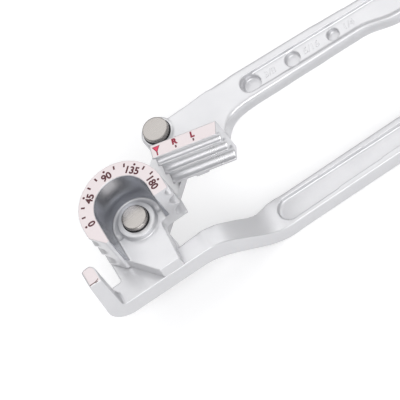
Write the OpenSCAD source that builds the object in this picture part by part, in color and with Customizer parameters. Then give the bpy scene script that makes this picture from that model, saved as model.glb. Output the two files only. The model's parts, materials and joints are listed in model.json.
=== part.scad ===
// Lever tube bender for three tube sizes, lying on its far side.
// The wheel's axis is the Z axis, the lower handle runs along +X.
// Heights are measured from the far face of the lower handle's arm.

/* [Tubes] */
// Outside diameter of the smallest tube
tube_small_d = 6.35; // [5.5:0.05:7]
// Outside diameter of the middle tube
tube_mid_d = 7.94; // [7:0.02:8.6]
// Outside diameter of the largest tube
tube_large_d = 9.53; // [8.6:0.01:10.2]
// Radial play between a tube and its groove
groove_play = 0.05; // [0.02:0.01:0.1]
// Radial play between a tube and its gauge hole
gauge_play = 0.2; // [0.1:0.05:0.3]

/* [Forming wheel] */
// Bend radius at the tube's centre line, and radius of the flanges
bend_r = 23.8; // [23:0.1:26]
// Thickness of each flange beside a groove
flange_t = 1.65; // [1.2:0.05:2]
// Radius of the pocket at the scale face
pocket_r = 15.4; // [14.5:0.1:16]
// Radius of the pocket at its floor
pocket_floor_r = 13.6; // [12:0.1:14.4]
// Depth of the pocket below the scale face
pocket_depth = 22.8; // [20:0.1:23.5]
// Radius of the boss around the centre pin
boss_r = 10.2; // [8.5:0.1:11]
// Height of the boss above the pocket's floor
boss_h = 3.3; // [2:0.1:5]
// How far the right leg runs past the axis
right_leg_drop = 6.8; // [4:0.1:8]
// How far the left leg runs past the axis before its slanted cut
left_leg_drop = 6.4; // [4:0.1:8]
// Width of the hub block where it meets the legs, from the axis to its right wall
hub_x = 10; // [9:0.1:11]

/* [Base and hook] */
// Thickness of the base
base_t = 11.3; // [9:0.1:13]
// Gap between the base and the far face of wheel and shoe
deck_gap = 0.6; // [0.4:0.05:1]
// Distance from the axis to the outer wall of the base and arm
outer_y = 31.2; // [30:0.1:34]
// Gap between the jaw and the largest tube
jaw_play = 0.05; // [0.02:0.01:0.3]
// Thickness of the jaw at its near face
jaw_t = 7.2; // [5:0.1:8]
// Thickness of the jaw at the hook's corner
jaw_foot_t = 8.5; // [8:0.1:11]
// Length of the jaw along the tube
jaw_len = 11.2; // [9:0.1:13]
// Radius of the hook's outer corner
hook_corner_r = 12; // [6:0.1:14]
// Radius of the fillet between the jaw and the floor
hook_fillet_r = 2; // [0.5:0.1:2.1]

/* [Lower arm] */
// Reach of the lower handle from the wheel's axis to its tip
lower_reach = 205; // [180:1:240]
// Thickness of the arm
arm_t = 9.5; // [8:0.1:11]
// Width of the arm
arm_w = 18.8; // [16:0.1:20]
// Width of the neck beside the hub
neck_w = 11; // [9.5:0.1:12]
// Rise from the arm's far face to the base's far face
crank_rise = 22.6; // [18:0.1:26]
// Depth of the slots in both faces of the arm
lower_slot_depth = 2.5; // [1.5:0.1:3]
// Radius of the slot's end near the neck
lower_slot_r = 6.7; // [5:0.1:7.2]

/* [Upper handle] */
// Distance from the upper pin's axis to the shoe's lips
shoe_h = 21.4; // [20:0.1:24]
// Gap between the shoe's lips and the wheel's flanges in the bending position
lip_gap = 0.6; // [0.4:0.05:1]
// Reach of the upper arm from its slot's end to its tip
upper_reach = 120; // [100:1:150]
// Thickness of the upper handle
upper_t = 9.3; // [9:0.1:12]
// Drop of the upper handle's face below the scale face
upper_drop = 13; // [11:0.1:14]
// Distance from the arm's middle line to its upper edge
upper_half_w = 10.4; // [9:0.1:11.5]
// Distance from the arm's middle line to its lower edge
lower_half_w = 8.4; // [7.5:0.1:9.5]
// Distance from the arm's middle line to the grip's lower edge
grip_half_w = 11.6; // [10:0.1:13]
// Depth of the slots in both faces of the upper handle
upper_slot_depth = 2.2; // [1.5:0.1:2.6]
// Radius of the slot's end near the upper pin
upper_slot_r = 5.2; // [5.1:0.1:5.6]
// Depth of the gauge holes below the slot's floor
gauge_depth = 3.2; // [2:0.1:3.6]
// Cast corner around the bottom of a gauge hole
gauge_corner = 0.5; // [0.4:0.05:0.8]
// Distance from one gauge hole to the next
gauge_pitch = 24; // [20:0.5:28]
// Radius of the eye around the upper pin
eye_r = 9; // [8.6:0.1:10]

/* [Forming shoe] */
// Length of the shoe
shoe_len = 35.2; // [30:0.1:38]
// Distance from the upper pin's axis back to the shoe's left end
shoe_back = 2.8; // [2:0.1:4]
// Height of the shoe from its lips to its seat
shoe_body_h = 7.8; // [6.8:0.1:9]
// How much farther the shoe's right end reaches at its seat than at its lips
shoe_lean = 1.5; // [1:0.1:2]
// Thickness of the tongue that goes into the handle
tongue_t = 4.6; // [3:0.1:5]
// Depth of the tongue
tongue_h = 7; // [5:0.1:8]

/* [Link and pins] */
// Thickness of the link
link_t = 5.8; // [4:0.1:6]
// Half the width of the link and the radius of its ends
link_r = 10; // [9:0.1:10.5]
// Radius of both pins' shanks
pin_r = 4; // [3.5:0.1:4.5]
// Radial running clearance of the pins
pin_play = 0.05; // [0.02:0.01:0.09]
// Radius of both pins' heads
pin_head_r = 6.9; // [5.5:0.1:7.4]
// Height of the centre pin's head
centre_head_h = 3.2; // [2:0.1:4]
// Height of the upper pin's head
upper_head_h = 3.6; // [2:0.1:5]
// Axial play beside every turning face
axial_play = 0.1; // [0.05:0.01:0.15]
// Thickness of the spacers beside the link
spacer_t = 0.6; // [0.4:0.05:0.8]
// Thickness of the washers under the clips
washer_t = 0.8; // [0.5:0.05:1]
// Thickness of the retaining clips
clip_t = 0.7; // [0.5:0.05:0.9]

/* [Hidden] */
$fn = 96;

// Overrun of every cut
cut = 1;
// Sides of a groove's circle
groove_sides = 40;

// Radii of the three grooves, from the scale face down
groove_radii = [
    tube_small_d / 2 + groove_play,
    tube_mid_d / 2 + groove_play,
    tube_large_d / 2 + groove_play
];

// Edge of the base that the link swings past
base_inner_y = link_r + deck_gap;

// Heights
base_far_z = crank_rise;
base_near_z = base_far_z + base_t;
deck_z = base_near_z + deck_gap;
wheel_t = 4 * flange_t + 2 * (groove_radii[0] + groove_radii[1] + groove_radii[2]);
scale_z = deck_z + wheel_t;
pocket_z = scale_z - pocket_depth;
boss_z = pocket_z + boss_h;
upper_near_z = scale_z - upper_drop;
upper_far_z = upper_near_z - upper_t;

// Heights of the three grooves' middles
groove_z = [
    scale_z - flange_t - groove_radii[0],
    scale_z - 2 * flange_t - 2 * groove_radii[0] - groove_radii[1],
    scale_z - 3 * flange_t - 2 * groove_radii[0] - 2 * groove_radii[1] - groove_radii[2]
];

// Stack of the link, from the clip up: the clip stays above the base's far face
pin_tail = clip_t;
pin_end_z = base_far_z + axial_play;
clip_z = pin_end_z + pin_tail;
washer_z = clip_z + clip_t;
link_z = washer_z + washer_t + axial_play;
link_near_z = link_z + link_t;
spacer_z = link_near_z + axial_play;
seat_z = spacer_z + spacer_t;
pin_bore_r = pin_r + pin_play;
pin_neck_r = pin_r - clip_t;
pin_edge = 0.4;
washer_r = link_r - 1.5 * clip_t;

// Rest pose: the link's direction and the turn of the upper handle
link_rest = 44.5;
upper_rest = -14.8;
link_len = bend_r + lip_gap + shoe_h;
upper_pin_x = link_len * cos(link_rest);
upper_pin_y = link_len * sin(link_rest);

// Frame of the upper arm, seen from the upper pin
upper_arm_turn = 12;
upper_arm_x = shoe_len + shoe_back + 15;
upper_arm_y = 8.2;

function ease(t) = (1 - cos(180 * t)) / 2;
function arc_points(x, y, r, from, to, steps) =
    [for (i = [0:steps]) let (a = from + (to - from) * i / steps) [x + r * cos(a), y + r * sin(a)]];
function eased_points(x0, y0, x1, y1, steps) =
    [for (i = [0:steps]) let (t = i / steps) [x0 + (x1 - x0) * t, y0 + (y1 - y0) * ease(t)]];
// A slot between two end circles of radii r0 and r1 on the X axis
function slot_points(x0, r0, x1, r1, steps) =
    let (tangent = acos((r0 - r1) / (x1 - x0)))
    concat(
        arc_points(x0, 0, r0, tangent, 360 - tangent, steps),
        arc_points(x1, 0, r1, -tangent, tangent, steps)
    );

module prism(z0, z1) translate([0, 0, z0]) linear_extrude(z1 - z0) children();
module rod(x, y, z0, z1, r) translate([x, y, z0]) cylinder(r = r, h = z1 - z0);

// Lower handle

arm_end_r = arm_w / 2;
arm_mid_y = arm_end_r - outer_y;
neck_inner_y = neck_w - outer_y;
arm_inner_y = arm_w - outer_y;
widen_from_x = 2.2 * arm_w + neck_w / 2;
widen_to_x = 3.2 * arm_w;
near_ramp_x = [bend_r - 2, 2.65 * bend_r];
far_ramp_x = [2 * bend_r / 3, 2.6 * bend_r];
ramp_steps = 24;
jaw_in_x = bend_r + groove_radii[2] + jaw_play;
jaw_out_x = jaw_in_x + jaw_foot_t;
jaw_tip_y = jaw_len - outer_y;
jaw_tip_r = jaw_t / 2;
jaw_tip_x = -jaw_in_x - jaw_tip_r;
floor_step_y = jaw_tip_y + jaw_tip_r / 2;
// Ledge of the base in front of the link
ledge_y = 0.55 * left_leg_drop;
ledge_x = washer_r + deck_gap;
// Outline of the jaw from its outer foot round its tip to the inner face
jaw_points = concat(
    [[-jaw_out_x, -outer_y]],
    [for (i = [0:ramp_steps]) let (a = 180 - 90 * i / ramp_steps)
        [jaw_tip_x + (jaw_out_x + jaw_tip_x) * cos(a), jaw_tip_y - jaw_tip_r * (1 - sin(a))]],
    arc_points(jaw_tip_x, jaw_tip_y - jaw_tip_r, jaw_tip_r, 90, 0, ramp_steps)
);
lower_slot_x = widen_to_x + lower_slot_r;
lower_slot_end_r = 0.65 * lower_slot_r;
lower_slot_end_x = lower_reach - 2.2 * lower_slot_r;

module lower_plan() polygon(concat(
    [
        [-bend_r, -base_inner_y],
        [hub_x, -base_inner_y],
        [hub_x, neck_inner_y]
    ],
    eased_points(widen_from_x, neck_inner_y + neck_w / 5, widen_to_x, arm_inner_y, ramp_steps),
    arc_points(lower_reach - arm_end_r, arm_mid_y, arm_end_r, 90, -90, 2 * ramp_steps),
    [
        [-jaw_out_x, -outer_y],
        [-jaw_out_x, jaw_tip_y - jaw_tip_r],
        [jaw_tip_x, jaw_tip_y],
        [-jaw_in_x, floor_step_y],
        [-bend_r, floor_step_y]
    ]
));

// Side view of hook, base, neck and arm, cranked from the base down to the arm
module lower_side() polygon(concat(
    arc_points(hook_corner_r - jaw_out_x, base_far_z + hook_corner_r, hook_corner_r, 270, 180, ramp_steps),
    [
        [-jaw_in_x - jaw_t, scale_z],
        [-jaw_in_x, scale_z]
    ],
    arc_points(hook_fillet_r - jaw_in_x, base_near_z + hook_fillet_r, hook_fillet_r, 180, 270, ramp_steps),
    eased_points(near_ramp_x[0], base_near_z, near_ramp_x[1], arm_t, ramp_steps),
    [[lower_reach + cut, arm_t], [lower_reach + cut, 0]],
    eased_points(far_ramp_x[1], 0, far_ramp_x[0], base_far_z, ramp_steps)
));

module jaw_plan() {
    polygon(concat([[-jaw_in_x, -outer_y]], jaw_points));
    translate([-jaw_in_x - cut, -outer_y])
        square([hook_fillet_r + cut, jaw_len - jaw_tip_r]);
}

module lower_slot(z0, z1) translate([0, arm_mid_y, 0]) prism(z0, z1)
    polygon(slot_points(lower_slot_x, lower_slot_r, lower_slot_end_x, lower_slot_end_r, ramp_steps));

module lower_handle() color("silver") difference() {
    union() {
        intersection() {
            union() {
                prism(0, base_near_z) lower_plan();
                prism(base_near_z - cut, scale_z) jaw_plan();
            }
            translate([0, cut, 0]) rotate([90, 0, 0])
                linear_extrude(outer_y + 2 * cut) lower_side();
        }
        translate([-bend_r, -base_inner_y - cut, seat_z])
            cube([bend_r - ledge_x, base_inner_y + cut - ledge_y, base_near_z - seat_z]);
    }
    lower_slot(arm_t - lower_slot_depth, base_near_z);
    lower_slot(-cut, lower_slot_depth);
    for (place = screw_places) screw_hole(place);
    for (place = dowel_places) rod(place[0], place[1], dowel_z, base_near_z + cut, dowel_r + fit_play);
}

// Wheel fasteners

screw_r = 2;
screw_head_r = 3.5;
screw_head_h = 4;
screw_key_r = 1.75;
screw_reach = 6;
dowel_r = 1.5;
dowel_len = 12;
fit_play = 0.03;
dowel_z = base_near_z - dowel_len / 2;
screw_share_places = [[-0.3, -0.5], [0.3, -0.85]];
dowel_share_places = [[0.45, -0.47], [-0.15, -0.8]];
screw_places = [for (p = screw_share_places) [p[0] * hub_x, p[1] * outer_y]];
dowel_places = [for (p = dowel_share_places) [p[0] * hub_x, p[1] * outer_y]];

module screw_hole(place) {
    rod(place[0], place[1], base_far_z - cut, base_far_z + screw_head_h + axial_play, screw_head_r + groove_play);
    rod(place[0], place[1], base_far_z, base_near_z + cut, screw_r + pin_play);
}

module wheel_screw(place) color("gray") difference() {
    union() {
        rod(place[0], place[1], base_far_z + axial_play, base_far_z + axial_play + screw_head_h, screw_head_r);
        rod(place[0], place[1], base_far_z + screw_head_h, base_near_z + screw_reach, screw_r);
    }
    translate([place[0], place[1], base_far_z - cut])
        cylinder(r = screw_key_r, h = cut + screw_head_h / 2 + axial_play, $fn = 6);
}

module wheel_dowel(place) color("silver")
    rod(place[0], place[1], dowel_z + axial_play, dowel_z + dowel_len - axial_play, dowel_r);

module wheel_screw_inner() wheel_screw(screw_places[0]);
module wheel_screw_outer() wheel_screw(screw_places[1]);
module wheel_dowel_inner() wheel_dowel(dowel_places[0]);
module wheel_dowel_outer() wheel_dowel(dowel_places[1]);

// Forming wheel

hub_out_y = outer_y - fit_play;
hub_foot_y = base_inner_y;
hub_narrow_x = 0.84 * hub_x;
hub_cut_x = 0.32 * hub_x;
leg_fillet_r = 0.25 * hub_x;
pocket_open_r = pocket_r + cut * (pocket_r - pocket_floor_r) / pocket_depth;
leg_in_x = pocket_r;
leg_cut_x = pocket_r + 0.25 * (bend_r - pocket_r);
leg_cut_y = left_leg_drop + 1.3 * (bend_r - leg_cut_x);
mark_r = 1.6;
mark_depth = 0.25;

module wheel_plan() polygon(concat(
    arc_points(0, 0, bend_r, 0, 180, 4 * ramp_steps),
    [
        [-bend_r, -left_leg_drop],
        [-leg_cut_x, -leg_cut_y],
        [-leg_in_x, -leg_cut_y - fit_play],
        [-hub_cut_x, -hub_out_y],
        [hub_narrow_x, -hub_out_y],
        [hub_x, -right_leg_drop - leg_fillet_r]
    ],
    arc_points(hub_x + leg_fillet_r, -right_leg_drop - leg_fillet_r, leg_fillet_r, 180, 90, ramp_steps / 2),
    [[bend_r, -right_leg_drop]]
));

module hub_foot_plan() polygon([
    [hub_x, -hub_foot_y],
    [-leg_in_x, -hub_foot_y],
    [-leg_in_x, -leg_cut_y - fit_play],
    [-hub_cut_x, -hub_out_y],
    [hub_narrow_x, -hub_out_y]
]);

module pocket_cut() {
    translate([0, 0, pocket_z])
        cylinder(r1 = pocket_floor_r, r2 = pocket_open_r, h = pocket_depth + cut);
    rotate([90, 0, 0]) linear_extrude(outer_y + cut) polygon([
        [-pocket_floor_r, pocket_z],
        [pocket_floor_r, pocket_z],
        [pocket_open_r, scale_z + cut],
        [-pocket_open_r, scale_z + cut]
    ]);
}

module wheel_groove(i) {
    translate([0, 0, groove_z[i]]) rotate_extrude(angle = 180)
        translate([bend_r, 0]) circle(r = groove_radii[i], $fn = groove_sides);
    for (side = [-1, 1]) translate([side * bend_r, 0, groove_z[i]]) rotate([90, 0, 0])
        cylinder(r = groove_radii[i], h = outer_y, $fn = groove_sides);
}

module forming_wheel() color("gainsboro") difference() {
    union() {
        difference() {
            prism(deck_z, scale_z) wheel_plan();
            pocket_cut();
            for (i = [0:2]) wheel_groove(i);
        }
        prism(base_near_z, deck_z + flange_t) hub_foot_plan();
        rod(0, 0, seat_z, boss_z, washer_r);
        rod(0, 0, pocket_z - flange_t, boss_z, boss_r);
    }
    rod(0, 0, seat_z - cut, boss_z + cut, pin_bore_r);
    for (place = screw_places) rod(place[0], place[1], base_near_z - cut,
        base_near_z + screw_reach + axial_play, screw_r + fit_play);
    for (place = dowel_places) rod(place[0], place[1], base_near_z - cut,
        dowel_z + dowel_len, dowel_r + fit_play);
    for (side = [-1, 1]) rod(side * (boss_r + mark_r), -mark_r * (1 - side) / 2,
        pocket_z - mark_depth, pocket_z + cut, mark_r);
}

// Pins, spacers, washers and clips

module headed_pin(x, y, head_z, head_h) color("lightgray") difference() {
    union() {
        rod(x, y, pin_end_z, head_z + axial_play, pin_r);
        rod(x, y, head_z, head_z + head_h - pin_edge, pin_head_r);
        translate([x, y, head_z + head_h - pin_edge])
            cylinder(r1 = pin_head_r, r2 = pin_head_r - pin_edge, h = pin_edge);
    }
    difference() {
        rod(x, y, clip_z - fit_play, washer_z + fit_play, pin_r + cut);
        rod(x, y, clip_z - cut, washer_z + cut, pin_neck_r);
    }
}

module ring(x, y, z0, z1, inner, outer) difference() {
    rod(x, y, z0, z1, outer);
    rod(x, y, z0 - cut, z1 + cut, inner);
}

module clip(x, y) color("dimgray") difference() {
    ring(x, y, clip_z, washer_z, pin_neck_r + fit_play, pin_head_r);
    translate([x - pin_neck_r * 0.8, y, clip_z - cut])
        cube([1.6 * pin_neck_r, pin_head_r + cut, clip_t + 2 * cut]);
}

module centre_pin() headed_pin(0, 0, boss_z, centre_head_h);
module centre_spacer() color("gray") ring(0, 0, spacer_z, seat_z, pin_bore_r, washer_r);
module centre_washer() color("gray") ring(0, 0, washer_z, washer_z + washer_t, pin_bore_r, washer_r);
module centre_clip() clip(0, 0);
module upper_pin() headed_pin(upper_pin_x, upper_pin_y, upper_boss_z, upper_head_h);
module upper_sleeve() color("silver")
    ring(upper_pin_x, upper_pin_y, spacer_z, upper_far_z, pin_bore_r, sleeve_r);
module upper_washer() color("gray")
    ring(upper_pin_x, upper_pin_y, washer_z, washer_z + washer_t, pin_bore_r, washer_r);
module upper_clip() clip(upper_pin_x, upper_pin_y);

module link() color("silver") rotate([0, 0, link_rest]) difference() {
    prism(link_z, link_near_z) polygon(slot_points(0, link_r, link_len, link_r, 2 * ramp_steps));
    rod(0, 0, link_z - cut, link_near_z + cut, pin_bore_r);
    rod(link_len, 0, link_z - cut, link_near_z + cut, pin_bore_r);
}

// Upper handle and shoe, in the frame of the upper pin with X along the grooves

module in_upper() translate([upper_pin_x, upper_pin_y, 0]) rotate([0, 0, upper_rest]) children();
module in_arm() translate([upper_arm_x, upper_arm_y, 0]) rotate([0, 0, upper_arm_turn]) children();

function to_upper(p) = [
    upper_arm_x + p[0] * cos(upper_arm_turn) - p[1] * sin(upper_arm_turn),
    upper_arm_y + p[0] * sin(upper_arm_turn) + p[1] * cos(upper_arm_turn)
];

shoe_seat_y = shoe_body_h - shoe_h;
shoe_right_x = shoe_len - shoe_back;
sleeve_r = eye_r - axial_play;
upper_boss_h = 0.8;
upper_boss_z = upper_near_z + upper_boss_h;
upper_boss_r = eye_r - upper_boss_h;
grip_from_x = upper_reach / 2;
grip_to_x = 0.68 * upper_reach;
grip_end_r = 0.75 * lower_half_w;
neck_lower_y = 1.08 * lower_half_w;
waist_lower_y = 0.91 * lower_half_w;
slot_low_y = 1.04 * upper_slot_r;
slot_start_x = -0.12 * upper_slot_r;
slot_grip_y = grip_half_w - 0.4 * upper_slot_r;
slot_end_x = upper_reach - 2.6 * upper_slot_r;
// Points between the eye and the arm's upper edge, as shares of the arm's frame place
shoulder_shares = [[0.19, 0.86], [0.296, 1.02], [0.475, 1.4], [0.657, 1.77], [0.857, 2.12]];
// Points of the hollow curve between shoe and arm, in shares of the arm's lower half width
hollow_shares = [[-2.46, -1.69], [-2.02, -1.38], [-1.5, -1.2], [-0.9, -1.1]];

module upper_plan() polygon(concat(
    arc_points(0, 0, eye_r, 195, 42, ramp_steps),
    [for (s = shoulder_shares) [s[0] * upper_arm_x, s[1] * upper_arm_y]],
    [for (p = concat(
        [[0, upper_half_w]],
        [[upper_reach / 3, upper_half_w]],
        [[upper_reach / 2, 0.94 * upper_half_w]],
        arc_points(upper_reach - grip_end_r, 0.9 * upper_half_w - grip_end_r, grip_end_r, 90, 0, ramp_steps),
        arc_points(upper_reach - grip_end_r, grip_end_r - grip_half_w, grip_end_r, 0, -90, ramp_steps),
        eased_points(grip_to_x, -grip_half_w, grip_from_x, -waist_lower_y, ramp_steps),
        [[0, -neck_lower_y]],
        [for (i = [len(hollow_shares) - 1:-1:0]) hollow_shares[i] * lower_half_w]
    )) to_upper(p)],
    [
        [shoe_right_x + shoe_lean, shoe_seat_y],
        [-shoe_back - fit_play, shoe_seat_y]
    ]
));

module upper_slot(z0, z1) in_arm() prism(z0, z1) polygon(concat(
    arc_points(slot_start_x, 0, upper_slot_r, 90, 255, ramp_steps),
    eased_points(grip_from_x, -slot_low_y, grip_to_x, -slot_grip_y, ramp_steps),
    arc_points(slot_end_x, -slot_grip_y + upper_slot_r, upper_slot_r, -90, 0, ramp_steps),
    arc_points(slot_end_x, 0, upper_slot_r, 0, 90, ramp_steps)
));

gauge_radii = [
    tube_large_d / 2 + gauge_play,
    tube_mid_d / 2 + gauge_play,
    tube_small_d / 2 + gauge_play
];
gauge_top_z = upper_near_z - upper_slot_depth;
gauge_wall_z = gauge_top_z - gauge_depth + gauge_corner;

// Tongue of the shoe, its screws and the slot for them

tongue_z = (upper_near_z + upper_far_z - tongue_t) / 2;
tongue_x = [0.08 * shoe_len, 0.82 * shoe_len];
tongue_screw_r = 1.5;
tongue_head_r = 2.8;
tongue_head_h = 1.5;
tongue_screw_x = [0.2 * shoe_len, 0.7 * shoe_len];
tongue_screw_y = shoe_seat_y + tongue_h / 2;

module upper_handle() color("silver") difference() {
    union() {
        in_upper() prism(upper_far_z, upper_near_z) upper_plan();
        rod(upper_pin_x, upper_pin_y, upper_near_z - cut, upper_boss_z, upper_boss_r);
    }
    rod(upper_pin_x, upper_pin_y, upper_far_z - cut, upper_boss_z + cut, pin_bore_r);
    in_upper() {
        upper_slot(gauge_top_z, upper_near_z + cut);
        upper_slot(upper_far_z - cut, upper_far_z + upper_slot_depth);
        in_arm() for (i = [0:2]) {
            rod(i * gauge_pitch, 0, gauge_wall_z, gauge_top_z + cut, gauge_radii[i]);
            translate([i * gauge_pitch, 0, gauge_wall_z - gauge_corner])
                cylinder(r1 = gauge_radii[i] - gauge_corner, r2 = gauge_radii[i], h = gauge_corner);
        }
        translate([tongue_x[0] - fit_play, shoe_seat_y - cut, tongue_z - fit_play])
            cube([tongue_x[1] - tongue_x[0] + 2 * fit_play, tongue_h + cut + fit_play, tongue_t + 2 * fit_play]);
        for (x = tongue_screw_x) {
            rod(x, tongue_screw_y, upper_far_z - cut, tongue_z + cut, tongue_screw_r + fit_play);
            translate([x, tongue_screw_y, upper_far_z])
                cylinder(r1 = tongue_head_r + fit_play, r2 = tongue_screw_r + fit_play, h = tongue_head_h);
        }
    }
}

lug_len = 0.21 * shoe_len;
lug_x = 0.27 * shoe_len;
lug_h = 1.4;
lug_w = 0.455 * shoe_body_h;

module forming_shoe() color("gainsboro") in_upper() difference() {
    union() {
        prism(deck_z, deck_z + wheel_t) polygon([
            [-shoe_back, -shoe_h],
            [shoe_right_x, -shoe_h],
            [shoe_right_x + shoe_lean, shoe_seat_y],
            [-shoe_back, shoe_seat_y]
        ]);
        translate([tongue_x[0], shoe_seat_y - cut, tongue_z])
            cube([tongue_x[1] - tongue_x[0], tongue_h + cut, tongue_t]);
        translate([lug_x, -shoe_h, deck_z - lug_h]) cube([lug_len, lug_w, lug_h + flange_t]);
    }
    for (i = [0:2]) translate([-shoe_back - cut, -shoe_h, groove_z[i]]) rotate([0, 90, 0])
        cylinder(r = groove_radii[i], h = shoe_len + shoe_lean + 2 * cut);
    for (x = tongue_screw_x) rod(x, tongue_screw_y, tongue_z - cut, tongue_z + 0.9 * tongue_t,
        tongue_screw_r + fit_play);
}

module shoe_screw(x) color("gray") in_upper() difference() {
    union() {
        translate([x, tongue_screw_y, upper_far_z + fit_play])
            cylinder(r1 = tongue_head_r - fit_play, r2 = tongue_screw_r, h = tongue_head_h);
        rod(x, tongue_screw_y, upper_far_z + tongue_head_h / 2, tongue_z + 0.8 * tongue_t, tongue_screw_r);
    }
    rod(x, tongue_screw_y, upper_far_z - cut, upper_far_z + tongue_head_h * 0.7, tongue_screw_r * 0.6, $fn = 6);
}
module shoe_screw_left() shoe_screw(tongue_screw_x[0]);
module shoe_screw_right() shoe_screw(tongue_screw_x[1]);

lower_handle();
forming_wheel();
wheel_screw_inner();
wheel_screw_outer();
wheel_dowel_inner();
wheel_dowel_outer();
centre_pin();
centre_spacer();
centre_washer();
centre_clip();
link();
upper_pin();
upper_sleeve();
upper_washer();
upper_clip();
upper_handle();
forming_shoe();
shoe_screw_left();
shoe_screw_right();
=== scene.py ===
"""Looks of a hand tube bender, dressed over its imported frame.

The bender lies on the arm of its lower handle. Its castings are satin
aluminium with rounded edges, its pins polished steel, and the scale, the
shoe's marks and the jaw's label are printed on near faces. Sizes are in
millimetres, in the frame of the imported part.
"""

import json
import logging
import math
from dataclasses import dataclass, field
from enum import Enum
from typing import Optional, Sequence

import bpy
from mathutils import Matrix, Vector


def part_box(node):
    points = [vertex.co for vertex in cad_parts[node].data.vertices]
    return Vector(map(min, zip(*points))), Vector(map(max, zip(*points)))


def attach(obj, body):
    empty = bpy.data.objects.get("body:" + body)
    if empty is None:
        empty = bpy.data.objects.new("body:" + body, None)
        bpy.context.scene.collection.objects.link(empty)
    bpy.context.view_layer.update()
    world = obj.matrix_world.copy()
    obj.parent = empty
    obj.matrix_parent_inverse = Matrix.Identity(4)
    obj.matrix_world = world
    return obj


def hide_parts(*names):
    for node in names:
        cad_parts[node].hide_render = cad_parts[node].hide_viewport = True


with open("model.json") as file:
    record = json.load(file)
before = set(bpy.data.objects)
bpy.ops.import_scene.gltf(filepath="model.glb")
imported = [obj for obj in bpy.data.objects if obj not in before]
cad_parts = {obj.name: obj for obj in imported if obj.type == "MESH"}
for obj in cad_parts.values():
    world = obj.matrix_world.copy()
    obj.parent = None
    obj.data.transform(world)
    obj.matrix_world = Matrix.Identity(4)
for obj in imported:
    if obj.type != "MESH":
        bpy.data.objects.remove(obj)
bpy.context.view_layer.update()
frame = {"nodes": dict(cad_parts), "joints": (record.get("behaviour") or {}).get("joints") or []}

LOG = logging.getLogger("tube_bender")
MM = 0.001

# Vertices of a CAD node this close, in mm, are one, and faces this flat, in degrees, are one
WELD_MM = 0.002
FLAT_DEGREES = 0.6

# Edges that turn by more than this many degrees are sharp, and corners by more than this, square
SHARP_DEGREES = 38.0
SQUARE_DEGREES = 60.0

# A casting's skin is shaded smooth across edges flatter than this
SKIN_DEGREES = 80.0

# How far one pass moves a vertex towards its neighbours' middle
RELAX = 0.5

# Thickness of a layer of ink, in mm
INK_MM = 0.03


# Helpers for colours, nodes and meshes


def linear(code: str) -> tuple[float, float, float, float]:
    """Turn an sRGB hex code into a linear colour.

    Args:
        code: Six hex digits with a leading hash.

    Returns:
        Red, green, blue and alpha, in linear light.
    """
    channels = []
    for start in (1, 3, 5):
        value = int(code[start:start + 2], 16) / 255
        channels.append(value / 12.92 if value <= 0.04045 else ((value + 0.055) / 1.055) ** 2.4)
    return (channels[0], channels[1], channels[2], 1.0)


def add_node(tree: bpy.types.NodeTree, kind: str, settings: Optional[dict] = None,
             inputs: Optional[dict] = None) -> bpy.types.Node:
    """Add one node with its settings, input values and links.

    Args:
        tree: The tree that gets the node.
        kind: Blender's name of the node's type.
        settings: Attributes of the node.
        inputs: Input name or number to a value or to the socket that feeds it.

    Returns:
        The new node.
    """
    node = tree.nodes.new(kind)
    for name, value in (settings or {}).items():
        setattr(node, name, value)
    for name, value in (inputs or {}).items():
        if isinstance(value, bpy.types.NodeSocket):
            tree.links.new(value, node.inputs[name])
        else:
            node.inputs[name].default_value = value
    return node


def new_material(name: str) -> tuple[bpy.types.Material, bpy.types.NodeTree, bpy.types.Node]:
    """Make a node material with only its output.

    Args:
        name: The material's name.

    Returns:
        The material, its node tree and its output node.
    """
    material = bpy.data.materials.new(name)
    material.use_nodes = True
    tree = material.node_tree
    tree.nodes.clear()
    return material, tree, tree.nodes.new("ShaderNodeOutputMaterial")


def select_only(piece: bpy.types.Object) -> None:
    """Select one object and make it the active one."""
    bpy.ops.object.select_all(action="DESELECT")
    piece.hide_set(False)
    piece.select_set(True)
    bpy.context.view_layer.objects.active = piece


def edit(piece: bpy.types.Object) -> None:
    """Enter edit mode with every face of a mesh selected."""
    select_only(piece)
    bpy.ops.object.mode_set(mode="EDIT")
    bpy.ops.mesh.select_mode(type="FACE")
    bpy.ops.mesh.select_all(action="SELECT")


def leave_edit() -> None:
    """Go back to object mode."""
    bpy.ops.object.mode_set(mode="OBJECT")


def copy_of_node(node: str, name: str) -> bpy.types.Object:
    """Copy a frame node's mesh, merged into a closed shell with flat faces whole.

    Args:
        node: The node that is copied.
        name: The new piece's name.

    Returns:
        The new piece, at the origin and on no body.
    """
    source = frame["nodes"][node]
    piece = bpy.data.objects.new(name, source.data.copy())
    bpy.context.scene.collection.objects.link(piece)
    piece.data.materials.clear()
    edit(piece)
    bpy.ops.mesh.remove_doubles(threshold=WELD_MM * MM)
    bpy.ops.mesh.dissolve_limited(angle_limit=math.radians(FLAT_DEGREES))
    leave_edit()
    return piece


def apply_modifier(piece: bpy.types.Object, kind: str, **settings: object) -> None:
    """Add a modifier, set it and apply it.

    Args:
        piece: The object that gets it.
        kind: Blender's name of the modifier's type.
        **settings: The modifier's attributes.
    """
    select_only(piece)
    modifier = piece.modifiers.new(kind.title(), kind)
    for name, value in settings.items():
        setattr(modifier, name, value)
    bpy.ops.object.modifier_apply(modifier=modifier.name)


def smooth(piece: bpy.types.Object, degrees: float = 32.0) -> None:
    """Shade a piece smooth across edges flatter than an angle."""
    select_only(piece)
    bpy.ops.object.shade_smooth_by_angle(angle=math.radians(degrees))


def paint(piece: bpy.types.Object, material: bpy.types.Material) -> None:
    """Give every face of a piece one material."""
    piece.data.materials.clear()
    piece.data.materials.append(material)


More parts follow.
